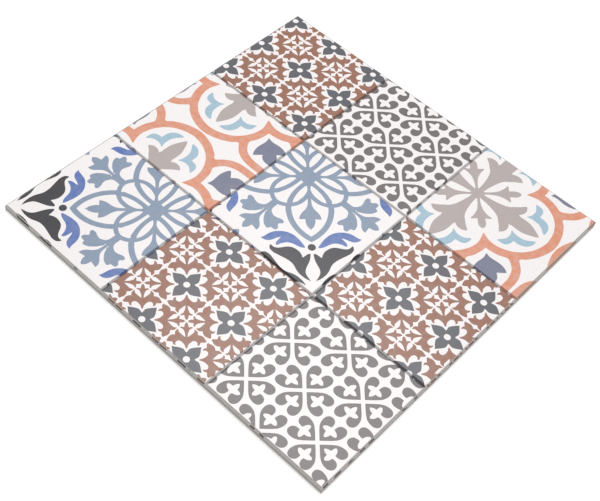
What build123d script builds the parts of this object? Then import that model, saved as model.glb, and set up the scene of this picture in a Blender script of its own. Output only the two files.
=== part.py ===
"""Vinyl mosaic tile sheet: one moulded slab whose face is parted into square tiles by pressed V-grooves."""
import os

from build123d import *

# Face of the sheet, in millimetres
tile_pitch = 100.0
tiles_across = 3
tiles_down = 3
sheet_width = tiles_across * tile_pitch
sheet_depth = tiles_down * tile_pitch

# Section of the sheet
sheet_thickness = 5.0
groove_width = 2.8
groove_depth = 1.0

# The rim is one flank of the same V-groove, so a groove is whole where two sheets meet
rim_width = groove_width / 2
rim_drop = groove_depth

# Heights above the back face
face_level = sheet_thickness
groove_floor = face_level - groove_depth

# The section of one pressed groove, from lip to lip
left_lip = (-groove_width / 2, face_level)
right_lip = (groove_width / 2, face_level)
groove_root = (0, groove_floor)

with BuildPart() as vinyl_tile_sheet:
    # Slab, standing on its back face
    with BuildSketch(Plane.XY):
        Rectangle(sheet_width, sheet_depth)
    extrude(amount=sheet_thickness)

    # Bevelled rim round the face
    face_edges = vinyl_tile_sheet.faces().sort_by(Axis.Z)[-1].edges()
    chamfer(face_edges, length=rim_width, length2=rim_drop)

    # Grooves that run front to back, between the columns of tiles
    with BuildSketch(Plane.XZ):
        with GridLocations(tile_pitch, tile_pitch, tiles_across - 1, 1):
            Polygon(left_lip, groove_root, right_lip, align=None)
    extrude(amount=sheet_depth / 2, both=True, mode=Mode.SUBTRACT)

    # Grooves that run side to side, between the rows of tiles
    with BuildSketch(Plane.YZ):
        with GridLocations(tile_pitch, tile_pitch, tiles_down - 1, 1):
            Polygon(left_lip, groove_root, right_lip, align=None)
    extrude(amount=sheet_width / 2, both=True, mode=Mode.SUBTRACT)

vinyl_tile_sheet.part.label = "vinyl_tile_sheet"

os.makedirs("parts", exist_ok=True)
export_step(vinyl_tile_sheet.part, "parts/vinyl_tile_sheet.step")
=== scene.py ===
# Vinyl mosaic tile sheet: the printed faces of its nine tiles, its grey core and its stage
import math

import bpy
import numpy as np
from bpy.props import FloatProperty, FloatVectorProperty, PointerProperty
from mathutils import Matrix, Vector


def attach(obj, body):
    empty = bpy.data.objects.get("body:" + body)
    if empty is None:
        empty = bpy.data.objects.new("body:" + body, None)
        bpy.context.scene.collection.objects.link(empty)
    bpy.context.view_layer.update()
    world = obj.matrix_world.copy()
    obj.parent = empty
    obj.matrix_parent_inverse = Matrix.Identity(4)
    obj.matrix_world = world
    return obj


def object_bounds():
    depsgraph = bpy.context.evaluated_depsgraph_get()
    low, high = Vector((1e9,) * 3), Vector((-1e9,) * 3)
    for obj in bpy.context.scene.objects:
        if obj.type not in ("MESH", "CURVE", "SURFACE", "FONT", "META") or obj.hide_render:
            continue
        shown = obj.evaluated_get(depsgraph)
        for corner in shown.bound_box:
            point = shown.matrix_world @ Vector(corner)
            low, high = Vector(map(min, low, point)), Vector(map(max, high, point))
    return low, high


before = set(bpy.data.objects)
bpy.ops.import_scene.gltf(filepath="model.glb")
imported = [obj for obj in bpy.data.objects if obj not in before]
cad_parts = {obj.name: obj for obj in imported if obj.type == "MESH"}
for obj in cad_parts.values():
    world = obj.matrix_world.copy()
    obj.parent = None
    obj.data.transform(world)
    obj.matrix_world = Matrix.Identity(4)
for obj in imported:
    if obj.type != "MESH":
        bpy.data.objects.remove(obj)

bl_info = {
    "name": "Vinyl Mosaic Tile Sheet",
    "version": (1, 0, 0),
    "blender": (4, 5, 0),
    "location": "View3D > Sidebar > Tile Sheet",
    "description": "Lays the printed tile faces on a vinyl tile sheet and sets up its stage",
    "category": "Object",
}

MM = 0.001
CAD_LOW, CAD_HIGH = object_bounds()
FACE_LEVEL = CAD_HIGH.z
TILES = 3
TILE_PITCH = (CAD_HIGH.x - CAD_LOW.x) / TILES

# Which print each tile carries: column from the left, row from the rear, the place of the print's centre
# from the middle of the tile in millimetres, the turns of the print's two axes in degrees, and its stretch
RUST_FLOWER_TILES = [
    (0, 0, (-3.8, 2.95), (0.15, -0.3), 0.998),
    (2, 1, (-7.15, -9.35), (-0.3, -0.2), 1.005),
    (1, 2, (-13.95, -5.25), (-0.25, -0.1), 0.9985),
]
GREY_HEART_TILES = [
    (1, 0, (-3.55, -6.75), (-0.55, -1.45), 0.997),
    (2, 2, (-3.5, -7.65), (-0.6, -1.35), 0.9955),
]
QUATREFOIL_TILES = [
    (2, 0, (-27.25, 6.4), (-0.65, -1.0), 0.9965),
    (0, 1, (-7.8, -72.4), (0.1, 0.35), 0.9975),
]
BLUE_LACE_TILES = [
    (1, 1, (-23.4, 25.8), (-0.2, -0.1), 1.003),
    (0, 2, (24.7, 22.95), (-0.15, 0.1), 0.9945),
]

# Half a repeat of each print, across and along the sheet, in millimetres
RUST_FLOWER_HALF = (21.2, 20.1)
GREY_HEART_HALF = (31.25, 21.0)
QUATREFOIL_HALF = (71.2, 72.1)
BLUE_LACE_HALF = (70.0, 70.0)

# An edge that ends inside a print steps aside there to shut its area. The step starts and ends at these
# distances past the end, in millimetres.
STEP_START = 0.1
STEP_END = 1.5

# Points along each stretch of a tile's section
SLANT_POINTS = 4
BEND_POINTS = 7
FLAT_POINTS = 11

# Most values of a noise texture lie in this range
NOISE_RANGE = (0.3, 0.7)
WHITE = (1.0, 1.0, 1.0, 1.0)
PLASTIC_IOR = 1.5


def linear(hex_colour):
    """Linear red, green and blue of an sRGB colour written as six hex digits."""
    channels = [int(hex_colour[start:start + 2], 16) / 255 for start in (0, 2, 4)]
    return [c / 12.92 if c <= 0.04045 else ((c + 0.055) / 1.055) ** 2.4 for c in channels]


def length(name, description, millimetres):
    """A size property whose default is given in millimetres."""
    return FloatProperty(name=name, description=description, default=millimetres * MM, unit="LENGTH",
                         precision=5)


def colour(name, description, hex_colour):
    """A colour property whose default is an sRGB hex value."""
    return FloatVectorProperty(name=name, description=description, default=linear(hex_colour),
                               subtype="COLOR", min=0.0, max=1.0)


class SheetSettings(bpy.types.PropertyGroup):
    """Sizes of the printed film and the colour of the core."""

    groove_width: length("Groove width", "Width of a pressed V-groove between its lips", 2.8)
    groove_depth: length("Groove depth", "Depth of a groove from the face to its root", 1.0)
    film: length("Film", "Height of the printed film over the core", 0.06)
    lip_roll: length("Lip roll", "How far the film's bend reaches to each side of a lip", 0.2)
    rim_turn: length("Rim turn", "How far the film turns down over the sheet's side", 0.15)
    core: colour("Core", "Filled vinyl core that shows at the sides and the back", "B5B0AA")


class PrintSettings(bpy.types.PropertyGroup):
    """Colours of the inks, and the painted shade in the joints between tiles."""

    ground: colour("Ground", "Off-white coat under the inks", "FAF5F5")
    rust: colour("Rust", "Field of the small flower print", "9E715F")
    slate: colour("Slate", "Petals of the small flower print", "64656B")
    heart: colour("Heart grey", "Hearts of the trellis print", "767071")
    beige: colour("Beige grey", "Petals of the quatrefoil print", "B9AEAB")
    pale_blue: colour("Pale blue", "Brackets of the quatrefoil print", "A9C4D4")
    orange: colour("Orange", "Quatrefoil band", "E29E84")
    leaf: colour("Leaf slate", "Corner leaves of the quatrefoil print", "7F8297")
    lace: colour("Lace blue", "Rosette and sprays of the lace print", "8F9EB3")
    cobalt: colour("Cobalt", "Curled leaves of the lace print", "6A80B9")
    charcoal: colour("Charcoal", "Dark leaves of the lace print", "444448")
    # Painted shade: how bright the print is left at a groove's root, darkened for the shade that falls
    # there
    joint_shade: FloatProperty(name="Joint shade", description="Brightness of the print at a groove's root",
                               default=0.54, min=0.0, max=1.0, subtype="FACTOR")


class StageSettings(bpy.types.PropertyGroup):
    """Camera and light."""

    azimuth: FloatProperty(name="Azimuth", description="Camera's bearing from the front edge",
                           default=math.radians(36.41), subtype="ANGLE", unit="ROTATION")
    elevation: FloatProperty(name="Elevation", description="Camera's height over the horizon",
                             default=math.radians(52.5), subtype="ANGLE", unit="ROTATION")
    roll: FloatProperty(name="Roll", description="Camera's tilt about its own axis",
                        default=math.radians(8.27), subtype="ANGLE", unit="ROTATION")
    distance: length("Distance", "From the camera to the middle of the printed face, along the view", 779.6)
    aside: length("Aside", "How far right of the picture's centre the middle of the face lies", 5.64)
    above: length("Above", "How far over the picture's centre the middle of the face lies", 26.42)
    lens: FloatProperty(name="Lens", description="Focal length on a 36 mm wide sensor", default=65.55,
                        unit="CAMERA")
    key: FloatProperty(name="Top light", description="Strength of the soft light from overhead",
                       default=0.882)
    sheen: FloatProperty(name="Softbox", description="Power of the softbox behind the sheet", default=3.65,
                         unit="POWER")
    fill: FloatProperty(name="Fill light", description="Strength of the light from all round", default=0.46)


class TileSheetSettings(bpy.types.PropertyGroup):
    """Everything the panel shows."""

    sheet: PointerProperty(type=SheetSettings)
    inks: PointerProperty(type=PrintSettings)
    stage: PointerProperty(type=StageSettings)


# Node building

def add(tree, kind, *inputs, named=None, points=(), **settings):
    """Adds one node with its settings, its inputs as links or values and the points of its drawn curve.

    A curve point is (along, height), smooth unless a third entry marks it as a corner. The node's first
    live output is returned."""
    node = tree.nodes.new(kind)
    for name, value in settings.items():
        setattr(node, name, value)
    pairs = list(zip([socket for socket in node.inputs if socket.enabled], inputs))
    pairs += [(node.inputs[name], value) for name, value in (named or {}).items()]
    for socket, value in pairs:
        if isinstance(value, bpy.types.NodeSocket):
            tree.links.new(value, socket)
        elif value is not None:
            socket.default_value = value
    if points:
        mapping = node.mapping
        drawn = mapping.curves[0].points
        for point, place in zip(drawn, points):
            point.location = place[:2]
        for place in points[2:]:
            drawn.new(place[0], place[1])
        mapping.use_clip = False
        mapping.extend = "HORIZONTAL"
        mapping.update()
        for point, place in zip(drawn, points):
            point.handle_type = "VECTOR" if len(place) > 2 else "AUTO_CLAMPED"
        mapping.update()
    return next((socket for socket in node.outputs if socket.enabled), None)


def new_tree(material_name):
    """A material with an empty node tree: the material and its tree."""
    material = bpy.data.materials.new(material_name)
    material.use_nodes = True
    material.node_tree.nodes.clear()
    return material, material.node_tree


# Areas of a print are numbers that are negative inside, so a union is the least and an overlap the
# greatest. Edges are drawn in millimetres, and unit is how many of them make one unit of the folded print.

def drawn_edge(edge, unit, shut):
    """Points of an edge in millimetres, taken to the unit that the print is folded in. An end inside the
    fold is a corner, and beyond it the edge steps to a height that shuts its area."""
    start, end = edge[0], edge[-1]
    before = [start]
    after = [end]
    if start[0] > 0.0:
        before = [(start[0] - STEP_END, shut, 1), (start[0] - STEP_START, shut, 1), (*start[:2], 1)]
    if end[0] < unit:
        after = [(*end[:2], 1), (end[0] + STEP_START, shut, 1), (end[0] + STEP_END, shut, 1)]
    return [(point[0] / unit, point[1] / unit, *point[2:]) for point in (*before, *edge[1:-1], *after)]


def under(tree, along, across, edge, unit):
    """The area under a drawn edge: its distance across is less than the edge's height."""
    height = add(tree, "ShaderNodeFloatCurve", None, along, points=drawn_edge(edge, unit, shut=-1.0))
    return add(tree, "ShaderNodeMath", across, height, operation="SUBTRACT")


def over(tree, along, across, edge, unit):
    """The area over a drawn edge: its distance across is more than the edge's height."""
    height = add(tree, "ShaderNodeFloatCurve", None, along, points=drawn_edge(edge, unit, shut=1.1 * unit))
    return add(tree, "ShaderNodeMath", height, across, operation="SUBTRACT")


def ring(tree, point, centre, radius, half_width, unit):
    """The area of a ring: the distance from its centre differs from its radius by less than its half width.
    With no radius it is a disc."""
    middle = (centre[0] / unit, centre[1] / unit, 0.0)
    reach = add(tree, "ShaderNodeVectorMath", point, middle, operation="DISTANCE").node.outputs["Value"]
    off = add(tree, "ShaderNodeMath", reach, radius / unit, operation="SUBTRACT")
    size = add(tree, "ShaderNodeMath", off, operation="ABSOLUTE")
    return add(tree, "ShaderNodeMath", size, half_width / unit, operation="SUBTRACT")


def overlap(tree, first, *others):
    """The area that lies in all of the given areas."""
    for other in others:
        first = add(tree, "ShaderNodeMath", first, other, operation="MAXIMUM")
    return first


def union(tree, first, *others):
    """The area that lies in any of the given areas."""
    for other in others:
        first = add(tree, "ShaderNodeMath", first, other, operation="MINIMUM")
    return first


def inked(tree, below, area, ink):
    """The colour below with an ink printed over an area."""
    inside = add(tree, "ShaderNodeMath", area, 0.0, operation="LESS_THAN")
    return add(tree, "ShaderNodeMix", inside, below, (*ink, 1.0), data_type="RGBA")


def folded(tree):
    """The print's coordinates folded at each half repeat: the distances across and along from the nearest
    centre, as parts of half a repeat."""
    place = add(tree, "ShaderNodeUVMap", uv_map="print")
    parts = add(tree, "ShaderNodeSeparateXYZ", place).node.outputs
    across, along = parts["X"], parts["Y"]
    return [add(tree, "ShaderNodeMath", part, 1.0, operation="PINGPONG") for part in (across, along)]


def wedge(tree, across, along):
    """The same point folded about the diagonal: along the nearer axis, then off that axis."""
    far = add(tree, "ShaderNodeMath", across, along, operation="MAXIMUM")
    near = add(tree, "ShaderNodeMath", across, along, operation="MINIMUM")
    return far, near


def diagonal(tree, far, near, sweep):
    """Half the sum and half the difference of the wedge's two distances: along the diagonal and off it.
    Sweep slants the crossing lines back from the tip."""
    off = add(tree, "ShaderNodeMath", far, near, operation="SUBTRACT")
    off = add(tree, "ShaderNodeMath", off, 0.5, operation="MULTIPLY")
    on = add(tree, "ShaderNodeMath", off, 1.0 - sweep, near, operation="MULTIPLY_ADD")
    return on, off


# The four prints

def rust_flower(tree, inks):
    """Slate four-petal flowers in white lobed frames on rust. In a wedge of one repeat the white is what
    lies under the hook's edge, in the side lobe, beyond the trellis line or inside the blade."""
    unit = 21.0
    far, near = wedge(tree, *folded(tree))
    hook = [(0.0, 21.0), (5.9, 21.0, 1), (5.95, 5.7, 1), (12.5, 2.7, 1), (13.5, 1.95), (14.4, 2.0),
            (15.4, 2.45), (15.9, 2.85, 1), (16.7, 2.15), (17.7, 1.15), (18.7, 0.7), (19.4, 0.7)]
    lobe = [(5.9, 0.6), (6.9, 1.1), (8.5, 1.9), (10.2, 2.3), (11.8, 2.3), (13.1, 1.95), (13.8, 1.4),
            (14.4, 0.0, 1)]
    trellis = [(0.0, 19.4), (0.9, 19.5), (2.3, 19.85), (3.5, 20.3), (4.8, 20.45), (6.2, 20.1),
               (7.3, 19.4), (8.1, 18.75, 1), (8.9, 19.6), (9.8, 20.35), (10.8, 20.55), (14.6, 20.45),
               (15.4, 20.2), (16.0, 19.5), (16.5, 18.65, 1), (17.5, 19.4), (18.4, 20.0), (19.4, 20.4),
               (21.0, 20.45)]
    blade_low = [(12.6, 11.6, 1), (14.4, 11.4), (16.7, 11.3), (18.0, 11.3), (18.8, 11.5), (19.4, 12.0),
                 (20.6, 12.7)]
    blade_high = [(12.6, 11.6, 1), (13.8, 12.6), (15.1, 13.55), (16.7, 14.35), (18.2, 14.75),
                  (18.9, 14.7), (19.6, 14.4), (20.6, 14.1)]
    petal = [(0.0, 3.8), (4.2, 3.75), (5.3, 3.95), (6.9, 4.25), (8.5, 3.75), (10.2, 2.75), (11.8, 1.55),
             (13.9, 0.0, 1)]
    white = under(tree, far, near, hook, unit)
    lobe_line = 4.9
    off_lobe = add(tree, "ShaderNodeMath", near, lobe_line / unit, operation="SUBTRACT")
    off_lobe = add(tree, "ShaderNodeMath", off_lobe, operation="ABSOLUTE")
    white = union(tree, white, under(tree, far, off_lobe, lobe, unit))
    white = union(tree, white, over(tree, near, far, trellis, unit))
    blade = overlap(tree, over(tree, far, near, blade_low, unit), under(tree, far, near, blade_high, unit))
    white = union(tree, white, blade)
    shown = inked(tree, (*inks.rust, 1.0), white, inks.ground)
    shown = inked(tree, shown, under(tree, far, near, petal, unit), inks.slate)
    point = add(tree, "ShaderNodeCombineXYZ", far, near)
    eye = ring(tree, point, (0.0, 0.0), 0.0, 2.4, unit)
    return inked(tree, shown, eye, inks.ground)


def grey_heart(tree, inks):
    """Grey hearts around the crossings of a white trellis, with crossings at the corners and the middle of
    a repeat. A heart lies between the edge of the trellis band and the edge of the white inside it."""
    unit = 22.0
    across, along = folded(tree)
    outer = [(1.85, 0.0, 1), (6.8, 4.9), (8.2, 6.15), (9.6, 7.25), (11.0, 8.05), (12.4, 8.55),
             (13.8, 8.85), (15.2, 9.0), (16.6, 8.85), (17.5, 8.55), (18.3, 8.1), (18.9, 7.5),
             (19.4, 6.75), (19.7, 5.9)]
    inner = [(0.0, -1.0), (5.5, -1.0, 1), (5.6, 0.0, 1), (6.1, 0.45), (6.8, 1.05), (7.5, 1.4),
             (8.2, 1.65), (9.7, 1.95, 1), (9.9, 4.1, 1), (10.2, 4.9), (10.7, 5.45), (11.2, 5.55),
             (11.8, 5.3), (12.4, 4.75), (13.1, 3.8), (13.6, 2.5), (13.9, 1.4), (14.5, 1.2), (15.2, 1.2),
             (16.6, 1.4), (18.0, 1.95), (18.7, 2.6), (19.4, 3.8), (19.7, 5.0), (19.75, 5.9)]
    hearts = []
    for crossing in ((0.0, 0.0), (1.0, 1.0)):
        away = []
        for part, start, half in zip((across, along), crossing, GREY_HEART_HALF):
            gap = add(tree, "ShaderNodeMath", part, start, operation="SUBTRACT")
            gap = add(tree, "ShaderNodeMath", gap, half / unit, operation="MULTIPLY")
            away.append(add(tree, "ShaderNodeMath", gap, operation="ABSOLUTE"))
        far, near = wedge(tree, *away)
        heart = overlap(tree, under(tree, far, near, outer, unit), over(tree, far, near, inner, unit))
        hearts.append(heart)
    return inked(tree, (*inks.ground, 1.0), union(tree, *hearts), inks.heart)


def quatrefoil(tree, inks):
    """A beige four-petal flower, pale blue brackets, an orange quatrefoil band and slate leaves at its
    corners. Each is an area between drawn edges in a wedge of the repeat."""
    unit = 71.7
    far, near = wedge(tree, *folded(tree))
    point = add(tree, "ShaderNodeCombineXYZ", far, near)
    petal_inner = [(0.0, 0.0), (2.2, 4.5), (2.6, 9.0), (3.5, 14.0), (5.0, 19.9), (6.5, 23.3),
                   (8.0, 25.3), (9.5, 26.65), (12.5, 29.65), (15.5, 32.0), (17.2, 33.3)]
    petal_outer = [(0.0, 36.0, 1), (5.9, 36.0, 1), (6.1, 34.0, 1), (8.5, 35.45), (11.0, 36.1),
                   (13.5, 35.9), (16.0, 34.5), (17.2, 33.3)]
    lens = [(28.0, 5.0), (34.0, 5.4), (37.0, 5.7), (40.0, 5.85), (44.0, 5.75), (48.0, 4.75),
            (52.0, 3.0), (55.0, 1.5), (57.0, 0.0)]
    inner_leaf = [(3.0, 0.75), (5.0, 0.75), (8.8, 1.15), (11.0, 1.7), (12.5, 2.55), (14.4, 4.1),
                  (15.7, 5.45), (16.4, 5.2, 1), (16.5, 2.2, 1), (17.6, 2.05), (19.6, 2.1), (21.7, 1.6),
                  (23.0, 0.75), (23.4, 0.0)]
    # The hooked lobes of the next flower along lie nearer to its centre
    nearer = 3.0
    place = add(tree, "ShaderNodeUVMap", uv_map="print")
    along = add(tree, "ShaderNodeSeparateXYZ", place).node.outputs["Y"]
    following = add(tree, "ShaderNodeMath", along, 1.0, operation="GREATER_THAN")
    hooked = add(tree, "ShaderNodeMath", following, nearer / unit, far, operation="MULTIPLY_ADD")
    beige = overlap(tree, over(tree, near, hooked, petal_inner, unit),
                    under(tree, near, hooked, petal_outer, unit))
    beige = union(tree, beige, ring(tree, point, (0.0, 0.0), 0.0, 5.0, unit))
    beige = union(tree, beige, under(tree, far, near, lens, unit))
    beige = union(tree, beige, under(tree, *diagonal(tree, far, near, sweep=0.2), inner_leaf, unit))
    shown = inked(tree, (*inks.ground, 1.0), beige, inks.beige)
    bracket_high = [(36.7, 24.0), (39.0, 24.15), (42.0, 23.95), (44.5, 22.4), (45.5, 20.5),
                    (45.9, 18.0), (46.0, 16.1, 1), (49.0, 16.15), (52.0, 15.65), (55.0, 14.0),
                    (57.0, 11.5), (58.0, 9.0), (58.3, 6.5), (58.4, 4.9)]
    bracket_low = [(36.7, 8.8), (39.5, 8.9), (41.0, 9.6), (44.0, 10.2), (48.0, 10.15), (51.5, 9.1),
                   (54.5, 7.15), (56.5, 5.4), (57.8, 4.9), (58.4, 4.9)]
    bracket_back = [(0.0, 39.3), (9.3, 39.3), (11.5, 40.25), (14.0, 41.0), (17.0, 40.95), (19.8, 39.9),
                    (22.0, 38.2), (24.3, 36.3), (25.0, 35.7)]
    bracket = overlap(tree, under(tree, far, near, bracket_high, unit),
                      over(tree, far, near, bracket_low, unit))
    bracket = overlap(tree, bracket, over(tree, near, far, bracket_back, unit))
    shown = inked(tree, shown, bracket, inks.pale_blue)
    band_inner = [(26.2, 26.2, 1), (29.5, 27.35), (33.0, 28.5), (37.0, 29.1), (42.0, 28.5),
                  (47.0, 26.8), (52.0, 24.0), (56.5, 20.0), (60.0, 15.0), (62.2, 10.0), (63.5, 5.0),
                  (64.1, 0.0, 1), (64.3, -1.0, 1), (72.0, -1.0)]
    band_cusp = [(26.0, 72.0), (35.8, 72.0, 1), (35.9, 35.9, 1), (38.0, 35.9), (42.0, 35.4),
                 (46.0, 34.6), (49.0, 33.5), (51.5, 32.2), (53.0, 31.9), (55.0, 32.7), (58.0, 34.8),
                 (60.5, 37.3), (62.3, 40.8), (63.6, 45.0), (64.2, 50.0), (64.4, 72.0, 1), (72.0, 72.0)]
    band_outer = [(0.0, 71.15), (5.0, 70.6), (10.0, 69.3), (15.5, 67.25), (20.5, 64.4), (23.0, 62.7),
                  (25.5, 60.1), (26.7, 59.6), (29.0, 61.6), (31.5, 64.1), (35.0, 66.8), (39.5, 68.85),
                  (44.0, 70.0), (50.0, 70.5), (72.0, 70.6)]
    band = overlap(tree, over(tree, far, near, band_inner, unit), under(tree, far, near, band_cusp, unit))
    band = overlap(tree, band, under(tree, near, far, band_outer, unit))
    shown = inked(tree, shown, band, inks.orange)
    corner_leaf = [(39.3, 0.0), (40.9, 1.0), (41.8, 1.7), (42.7, 2.85), (44.4, 5.3), (46.2, 7.1),
                   (47.4, 7.85), (49.0, 8.55), (50.4, 8.75), (50.7, 7.3, 1), (50.8, 3.6, 1),
                   (52.3, 3.8), (54.6, 3.55), (56.6, 2.4), (58.3, 0.85), (59.0, 0.0)]
    leaf = under(tree, *diagonal(tree, far, near, sweep=0.12), corner_leaf, unit)
    return inked(tree, shown, leaf, inks.leaf)


def blue_lace(tree, inks):
    """A pale blue lace rosette with an arch, leaf sprays, curled cobalt leaves and charcoal leaves at the
    corners. Each is an area between drawn edges in a wedge of the repeat, or a ring about a centre."""
    unit = 70.0
    far, near = wedge(tree, *folded(tree))
    point = add(tree, "ShaderNodeCombineXYZ", far, near)
    loop_low = [(4.5, 1.15), (10.0, 1.2), (15.0, 1.5), (20.0, 2.3), (25.0, 3.85), (28.5, 5.5),
                (30.5, 10.4, 1)]
    loop_high = [(4.5, 4.5), (9.5, 9.5), (13.0, 12.5), (16.5, 14.1), (20.0, 14.2), (24.0, 13.6),
                 (27.0, 12.45), (30.5, 10.4, 1)]
    eye_low = [(7.2, 5.2, 1), (9.5, 4.75), (12.0, 4.8), (16.0, 5.2), (20.0, 6.1), (24.0, 7.55),
               (26.4, 9.0, 1)]
    eye_high = [(7.2, 5.2, 1), (9.5, 7.9), (11.0, 8.9), (14.0, 9.95), (18.0, 10.65), (22.0, 10.65),
                (24.5, 10.0), (26.4, 9.0, 1)]
    eye = overlap(tree, over(tree, far, near, eye_low, unit), under(tree, far, near, eye_high, unit))
    loop = overlap(tree, over(tree, far, near, loop_low, unit), under(tree, far, near, loop_high, unit))
    around = add(tree, "ShaderNodeMath", eye, -1.0, operation="MULTIPLY")
    lace = overlap(tree, loop, around)
    lace = union(tree, lace, ring(tree, point, (0.0, 0.0), 0.0, 6.5, unit))
    petal_end = ring(tree, point, (22.0, -1.0), 12.1, 1.7, unit)
    petal_end_start = 28.0
    beyond = add(tree, "ShaderNodeMath", petal_end_start / unit, far, operation="SUBTRACT")
    lace = union(tree, lace, overlap(tree, petal_end, beyond))
    arch = ring(tree, point, (8.9, 33.6), 32.9, 2.1, unit)
    arch_start = 8.0
    beyond = add(tree, "ShaderNodeMath", arch_start / unit, near, operation="SUBTRACT")
    lace = union(tree, lace, overlap(tree, arch, beyond))
    stem_leaf = [(8.0, 0.8), (14.0, 0.85), (16.8, 0.95), (18.7, 1.1), (20.7, 1.9), (21.6, 2.5),
                 (22.9, 3.8), (24.5, 4.95), (27.1, 5.6), (27.4, 5.4, 1), (27.5, 2.5, 1), (29.0, 2.5),
                 (31.2, 2.1), (33.1, 1.35), (34.6, 0.25), (35.6, 0.0)]
    lace = union(tree, lace, under(tree, *diagonal(tree, far, near, sweep=0.2), stem_leaf, unit))
    spray_stem = [(33.5, 3.2), (36.3, 2.75), (40.0, 2.8), (42.5, 3.75), (44.0, 5.8), (44.8, 8.0)]
    lace = union(tree, lace, under(tree, far, near, spray_stem, unit))
    side_low = [(42.5, 3.4), (46.5, 1.5), (48.0, 2.35), (50.5, 3.7), (53.0, 5.85), (55.0, 8.1),
                (56.6, 12.2)]
    side_high = [(43.0, 15.0), (43.4, 16.6), (44.8, 17.3), (46.0, 16.9), (47.0, 15.8), (48.0, 15.5),
                 (49.5, 16.6), (51.5, 18.3), (53.0, 17.8), (53.7, 15.8), (53.8, 13.7), (55.0, 13.5),
                 (56.6, 12.2)]
    side_back = [(0.0, 42.5), (3.5, 42.5), (5.3, 44.0), (8.0, 44.8), (11.0, 44.3), (13.0, 43.5),
                 (15.0, 43.0), (18.0, 43.0)]
    side = overlap(tree, over(tree, far, near, side_low, unit), under(tree, far, near, side_high, unit))
    lace = union(tree, lace, overlap(tree, side, over(tree, near, far, side_back, unit)))
    end_leaf = [(43.0, 1.1), (48.6, 1.2), (50.0, 1.4), (51.4, 1.8), (52.7, 2.5), (53.8, 3.7),
                (54.7, 5.4), (55.7, 7.0), (56.9, 8.0), (58.2, 8.6), (60.2, 8.7, 1), (60.9, 3.2, 1),
                (63.0, 2.95), (65.8, 2.0), (68.5, 0.0)]
    sweep = 1.0 / 3.0
    swept = add(tree, "ShaderNodeMath", near, -sweep, far, operation="MULTIPLY_ADD")
    lace = union(tree, lace, under(tree, swept, near, end_leaf, unit))
    shown = inked(tree, (*inks.ground, 1.0), lace, inks.lace)
    curl_inner = [(15.0, 65.5), (15.9, 63.8), (16.3, 61.2), (16.8, 58.2), (18.0, 55.0), (20.3, 52.0),
                  (23.5, 49.35), (27.0, 47.75), (31.0, 47.1), (35.0, 47.3), (38.5, 47.95), (41.5, 48.7),
                  (43.2, 49.5)]
    curl_outer = [(15.0, 65.5), (17.5, 65.3), (19.5, 64.45), (21.3, 62.85), (22.5, 60.4), (23.6, 57.0),
                  (24.9, 55.0, 1), (25.2, 59.0), (26.0, 61.5), (27.3, 62.4), (28.8, 58.9), (30.3, 56.3),
                  (32.5, 54.2), (35.0, 53.05), (38.0, 52.3), (41.0, 51.25), (43.2, 49.5)]
    curl = overlap(tree, over(tree, near, far, curl_inner, unit), under(tree, near, far, curl_outer, unit))
    shown = inked(tree, shown, curl, inks.cobalt)
    dark_inner = [(24.0, 64.8), (26.5, 64.9), (29.0, 64.0), (31.0, 61.8), (33.0, 58.7), (35.3, 56.4),
                  (38.5, 55.1), (41.5, 54.8), (44.5, 55.4), (47.6, 57.0, 1), (47.9, 52.5, 1),
                  (49.0, 51.0), (51.0, 52.8), (52.5, 55.0), (54.0, 58.2), (55.5, 61.8), (57.0, 64.1),
                  (59.0, 65.6), (62.0, 66.7), (65.3, 67.4)]
    dark_outer = [(24.0, 64.8), (24.8, 66.5), (26.5, 68.0), (30.0, 68.45), (33.5, 67.8), (37.0, 66.95),
                  (41.0, 66.05), (45.0, 65.8), (48.5, 66.5), (51.5, 67.75), (54.5, 68.6), (58.0, 68.85),
                  (62.0, 68.45), (65.3, 67.4)]
    dark = overlap(tree, over(tree, near, far, dark_inner, unit), under(tree, near, far, dark_outer, unit))
    dark = union(tree, dark, ring(tree, point, (45.9, 45.9), 0.0, 2.9, unit))
    return inked(tree, shown, dark, inks.charcoal)


# Materials

def noise(tree, place, size, detail):
    """A noise texture whose patches have a size in millimetres."""
    return add(tree, "ShaderNodeTexNoise", place, 1.0 / (size * MM), detail)


def spread(tree, value, low, high, start=NOISE_RANGE):
    """A value taken from its own range to the range from low to high."""
    return add(tree, "ShaderNodeMapRange", value, *start, low, high)


def printed_vinyl(name, draw, settings):
    """Matt PVC film, gravure printed and embossed: the print, slightly mottled, with painted shade down the
    grooves.
    """
    material, tree = new_tree(name)
    inks = settings.inks
    shown = draw(tree, inks)
    place = add(tree, "ShaderNodeTexCoord").node.outputs["Object"]
    height = add(tree, "ShaderNodeSeparateXYZ", place).node.outputs["Z"]
    # Painted shade: the print darkens just below the lip, down the grooves and the rim's bevel, standing in
    # for the shade that falls in them
    shade_depth_share = 0.3
    shade_start_height = FACE_LEVEL - shade_depth_share * settings.sheet.groove_depth
    shade = spread(tree, height, inks.joint_shade, 1.0, start=(shade_start_height, FACE_LEVEL))
    # Ink lies a little unevenly, in patches of about a millimetre
    uneven = (0.97, 1.03)
    patches = spread(tree, noise(tree, place, size=1.2, detail=3.0), *uneven)
    shade = add(tree, "ShaderNodeMath", shade, patches, operation="MULTIPLY")
    # The inks are stronger in some places than in others, over a few millimetres
    strength = spread(tree, noise(tree, place, size=4.0, detail=2.0), low=0.88, high=1.12)
    shown = add(tree, "ShaderNodeHueSaturation",
                named={"Saturation": strength, "Value": shade, "Color": shown})
    # The emboss is a fine pebble that breaks the sheen
    pebble = noise(tree, place, size=0.35, detail=1.0)
    surface = add(tree, "ShaderNodeBump", named={"Strength": 0.25, "Distance": 0.02 * MM, "Height": pebble})
    gloss = spread(tree, patches, low=0.29, high=0.35, start=uneven)
    finish_material(tree, shown, gloss, surface)
    return material


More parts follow.
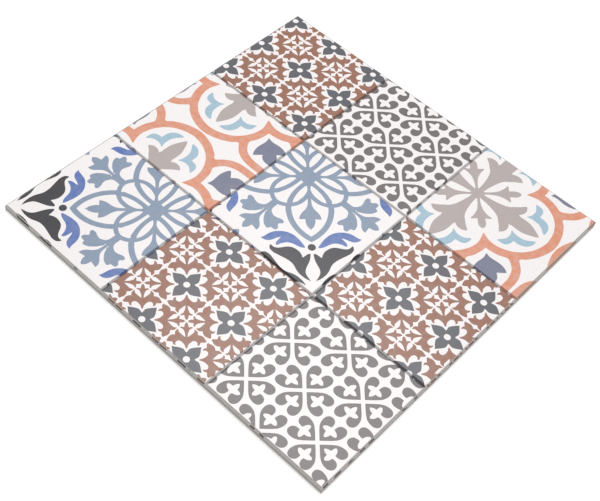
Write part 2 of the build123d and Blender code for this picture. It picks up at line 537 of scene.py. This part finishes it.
def filled_vinyl(name, settings):
    """Calendered PVC core full of chalk: grey and matt, with fine paler and darker specks."""
    material, tree = new_tree(name)
    darker, paler = 0.9, 1.08
    core = settings.sheet.core
    low = [darker * part for part in core]
    high = [min(1.0, paler * part) for part in core]
    place = add(tree, "ShaderNodeTexCoord").node.outputs["Object"]
    specks = noise(tree, place, size=0.8, detail=3.0)
    tone = spread(tree, specks, low=0.0, high=1.0)
    shown = add(tree, "ShaderNodeMix", tone, (*low, 1.0), (*high, 1.0), data_type="RGBA")
    gloss = spread(tree, specks, low=0.55, high=0.68)
    surface = add(tree, "ShaderNodeBump", named={"Strength": 0.3, "Distance": 0.03 * MM, "Height": specks})
    finish_material(tree, shown, gloss, surface)
    return material


def finish_material(tree, shown, gloss, surface):
    """Puts a colour, a roughness and a surface normal on a plastic surface and links it to the output."""
    shader = add(tree, "ShaderNodeBsdfPrincipled",
                 named={"Base Color": shown, "Roughness": gloss, "Normal": surface, "IOR": PLASTIC_IOR})
    add(tree, "ShaderNodeOutputMaterial", shader)


# Printed faces

def flank(settings, at_rim):
    """One end of a tile's section: distances in from the groove's root line, and the film's drop there.

    The drop lessens evenly from the root to the lip and rolls over it along a parabola. At the sheet's rim
    the film stands out by its thickness and turns down over the side."""
    half = settings.groove_width / 2
    slope = settings.groove_depth / half
    roll = settings.lip_roll
    slant = np.linspace(0.0, half - roll, SLANT_POINTS)
    bend = np.linspace(half - roll, half + roll, BEND_POINTS)
    inward = np.concatenate([slant, bend[1:], [half + 2 * roll]])
    drop = np.where(inward < half - roll, slope * (half - inward),
                    slope * np.clip(half + roll - inward, 0.0, None) ** 2 / (4 * roll))
    if at_rim:
        outside = -settings.film
        foot = slope * (half - outside)
        inward = np.concatenate([[outside, outside], inward])
        drop = np.concatenate([[foot + settings.rim_turn, foot], drop])
    return inward, drop


def section(settings, index):
    """A tile's section along one axis of the sheet: places from the tile's middle and drops, low to high.

    The two flanks are mirrored and the flat between them is parted evenly."""
    half = TILE_PITCH / 2
    low, low_drop = flank(settings, index == 0)
    high, high_drop = flank(settings, index == TILES - 1)
    flat = np.linspace(low[-1] - half, half - high[-1], FLAT_POINTS)[1:-1]
    places = np.concatenate([low - half, flat, (half - high)[::-1]])
    drops = np.concatenate([low_drop, np.zeros(flat.size), high_drop[::-1]])
    return places, drops


def printed_face(settings, name, column, row, print_centre, turns, repeat):
    """The film over one tile: a grid of its two sections, at each point as low as the lower of them, so
    that the grooves meet in mitres. Its print map is the place in half repeats from the print's centre,
    along the print's two axes, which lean apart by the difference of their turns."""
    across, across_drop = section(settings, column)
    along, along_drop = section(settings, TILES - 1 - row)
    x, y = np.meshgrid(across, along, indexing="ij")
    z = FACE_LEVEL + settings.film - np.maximum.outer(across_drop, along_drop)
    middle = (column - (TILES - 1) / 2) * TILE_PITCH, ((TILES - 1) / 2 - row) * TILE_PITCH
    vertices = np.stack([x + middle[0], y + middle[1], z], axis=-1).reshape(-1, 3)
    index = np.arange(x.size).reshape(x.shape)
    corners = [index[:-1, :-1], index[1:, :-1], index[1:, 1:], index[:-1, 1:]]
    faces = np.stack(corners, axis=-1).reshape(-1, 4)
    mesh = bpy.data.meshes.new(name)
    mesh.from_pydata(vertices.tolist(), [], faces.tolist())
    mesh.polygons.foreach_set("use_smooth", np.ones(len(faces), dtype=bool))
    from_x = x - print_centre[0] * MM
    from_y = y - print_centre[1] * MM
    first, second = np.radians(turns)
    lean = math.cos(first - second)
    u = (math.cos(second) * from_x + math.sin(second) * from_y) / (lean * repeat[0] * MM)
    v = (math.cos(first) * from_y - math.sin(first) * from_x) / (lean * repeat[1] * MM)
    places = np.stack([u, v], axis=-1).reshape(-1, 2)
    mesh.uv_layers.new(name="print").data.foreach_set("uv", places[faces.ravel()].ravel())
    mesh.validate()
    piece = bpy.data.objects.new(name, mesh)
    bpy.context.scene.collection.objects.link(piece)
    return piece


def lay_faces(context, kind, draw, tiles, half_repeat):
    """Lays the printed faces of all tiles that carry one print."""
    settings = context.scene.tile_sheet
    material = printed_vinyl(f"printed_vinyl_film_{kind}", draw, settings)
    for column, row, print_centre, turns, stretch in tiles:
        name = f"printed_face_{kind}_{column}_{row}"
        repeat = np.multiply(half_repeat, stretch)
        piece = printed_face(settings.sheet, name, column, row, print_centre, turns, repeat)
        piece.data.materials.append(material)
        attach(piece, "root")
    return {"FINISHED"}


# Operators

class TILE_SHEET_OT_core(bpy.types.Operator):
    """Gives the moulded sheet its filled vinyl"""

    bl_idname = "tile_sheet.core"
    bl_label = "Vinyl Core"

    def execute(self, context):
        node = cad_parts["vinyl_tile_sheet"]
        node.data.materials.clear()
        node.data.materials.append(filled_vinyl("filled_vinyl_calendered", context.scene.tile_sheet))
        return {"FINISHED"}


class TILE_SHEET_OT_rust_flower(bpy.types.Operator):
    """Lays the faces with the small slate flowers on rust"""

    bl_idname = "tile_sheet.rust_flower"
    bl_label = "Rust Flower Faces"

    def execute(self, context):
        return lay_faces(context, "rust_flower", rust_flower, RUST_FLOWER_TILES, RUST_FLOWER_HALF)


class TILE_SHEET_OT_grey_heart(bpy.types.Operator):
    """Lays the faces with the grey hearts on a white trellis"""

    bl_idname = "tile_sheet.grey_heart"
    bl_label = "Grey Heart Faces"

    def execute(self, context):
        return lay_faces(context, "grey_heart", grey_heart, GREY_HEART_TILES, GREY_HEART_HALF)


class TILE_SHEET_OT_quatrefoil(bpy.types.Operator):
    """Lays the faces with the orange quatrefoil"""

    bl_idname = "tile_sheet.quatrefoil"
    bl_label = "Quatrefoil Faces"

    def execute(self, context):
        return lay_faces(context, "quatrefoil", quatrefoil, QUATREFOIL_TILES, QUATREFOIL_HALF)


class TILE_SHEET_OT_blue_lace(bpy.types.Operator):
    """Lays the faces with the blue lace"""

    bl_idname = "tile_sheet.blue_lace"
    bl_label = "Blue Lace Faces"

    def execute(self, context):
        return lay_faces(context, "blue_lace", blue_lace, BLUE_LACE_TILES, BLUE_LACE_HALF)


class TILE_SHEET_OT_stage(bpy.types.Operator):
    """Sets up the floor, the light and the camera"""

    bl_idname = "tile_sheet.stage"
    bl_label = "Stage"

    def execute(self, context):
        stage = context.scene.tile_sheet.stage
        add_floor(context.scene)
        add_light(context.scene, stage)
        add_camera(context.scene, stage)
        context.scene.view_settings.view_transform = "Standard"
        return {"FINISHED"}


def add_floor(scene):
    """A white floor under the sheet that keeps its shadow."""
    reach = 4.0
    camera_lift = 0.25
    corners = [(-reach, -reach, 0.0), (reach, -reach, 0.0), (reach, reach, 0.0), (-reach, reach, 0.0)]
    mesh = bpy.data.meshes.new("floor")
    mesh.from_pydata(corners, [], [(0, 1, 2, 3)])
    material, tree = new_tree("white_paper_sweep")
    paper = add(tree, "ShaderNodeBsdfDiffuse", WHITE)
    # The camera sees the paper a little over white, so that only a real shadow shows on it
    seen = add(tree, "ShaderNodeLightPath").node.outputs["Is Camera Ray"]
    lift = add(tree, "ShaderNodeMath", seen, camera_lift, operation="MULTIPLY")
    glow = add(tree, "ShaderNodeEmission", WHITE, lift)
    add(tree, "ShaderNodeOutputMaterial", add(tree, "ShaderNodeAddShader", paper, glow))
    mesh.materials.append(material)
    floor = bpy.data.objects.new("floor", mesh)
    scene.collection.objects.link(floor)


def add_light(scene, stage):
    """An even light from all round, a soft light from overhead, and a softbox behind the sheet whose sheen
    lies over the front of the face."""
    overhead = Vector((0.02, 0.14, 1.0))
    softness = math.radians(35.0)
    softbox_size = 0.5
    softbox_distance = 1.2
    lamp = bpy.data.lights.new("overhead_light", "SUN")
    lamp.energy = stage.key
    lamp.angle = softness
    key = bpy.data.objects.new("overhead_light", lamp)
    key.rotation_euler = overhead.to_track_quat("Z", "Y").to_euler()
    scene.collection.objects.link(key)
    lamp = bpy.data.lights.new("rear_softbox", "AREA")
    lamp.energy = stage.sheen
    lamp.shape = "SQUARE"
    lamp.size = softbox_size
    softbox = bpy.data.objects.new("rear_softbox", lamp)
    shone_on = Vector((0.09, -0.13, FACE_LEVEL))
    toward = Vector((-0.285, 0.4, 0.87)).normalized()
    softbox.location = shone_on + softbox_distance * toward
    softbox.rotation_euler = toward.to_track_quat("Z", "Y").to_euler()
    scene.collection.objects.link(softbox)
    world = bpy.data.worlds.new("white_room")
    world.use_nodes = True
    tree = world.node_tree
    tree.nodes.clear()
    seen = add(tree, "ShaderNodeLightPath").node.outputs["Is Camera Ray"]
    strength = add(tree, "ShaderNodeMapRange", seen, 0.0, 1.0, stage.fill, 1.0)
    background = add(tree, "ShaderNodeBackground", WHITE, strength)
    add(tree, "ShaderNodeOutputWorld", background)
    scene.world = world


def add_camera(scene, stage):
    """The camera looks at the sheet from the front right and above, rolled a little."""
    flat = math.cos(stage.elevation)
    backward = Vector((flat * math.sin(stage.azimuth), -flat * math.cos(stage.azimuth),
                       math.sin(stage.elevation)))
    level = Vector((0.0, 0.0, 1.0)).cross(backward).normalized()
    upright = Matrix((level, backward.cross(level), backward)).transposed()
    axes = upright @ Matrix.Rotation(stage.roll, 3, "Z")
    offset = axes @ Vector((stage.aside, stage.above, -stage.distance))
    camera = bpy.data.objects.new("camera", bpy.data.cameras.new("camera"))
    camera.data.lens = stage.lens
    camera.matrix_world = Matrix.Translation(Vector((0.0, 0.0, FACE_LEVEL)) - offset) @ axes.to_4x4()
    scene.collection.objects.link(camera)
    scene.camera = camera


STEPS = (TILE_SHEET_OT_core, TILE_SHEET_OT_rust_flower, TILE_SHEET_OT_grey_heart,
         TILE_SHEET_OT_quatrefoil, TILE_SHEET_OT_blue_lace, TILE_SHEET_OT_stage)


class TILE_SHEET_PT_panel(bpy.types.Panel):
    """Settings and steps of the tile sheet"""

    bl_idname = "TILE_SHEET_PT_panel"
    bl_label = "Tile Sheet"
    bl_space_type = "VIEW_3D"
    bl_region_type = "UI"
    bl_category = "Tile Sheet"

    def draw(self, context):
        settings = context.scene.tile_sheet
        for group in (settings.sheet, settings.inks, settings.stage):
            box = self.layout.box()
            for name in group.__annotations__:
                box.prop(group, name)
        for step in STEPS:
            self.layout.operator(step.bl_idname)


CLASSES = (SheetSettings, PrintSettings, StageSettings, TileSheetSettings, *STEPS, TILE_SHEET_PT_panel)


def register():
    for part in CLASSES:
        bpy.utils.register_class(part)
    bpy.types.Scene.tile_sheet = PointerProperty(type=TileSheetSettings)


def unregister():
    del bpy.types.Scene.tile_sheet
    for part in reversed(CLASSES):
        bpy.utils.unregister_class(part)


def main():
    """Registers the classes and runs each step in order."""
    register()
    bpy.ops.tile_sheet.core()
    bpy.ops.tile_sheet.rust_flower()
    bpy.ops.tile_sheet.grey_heart()
    bpy.ops.tile_sheet.quatrefoil()
    bpy.ops.tile_sheet.blue_lace()
    bpy.ops.tile_sheet.stage()


if __name__ == "__main__":
    main()
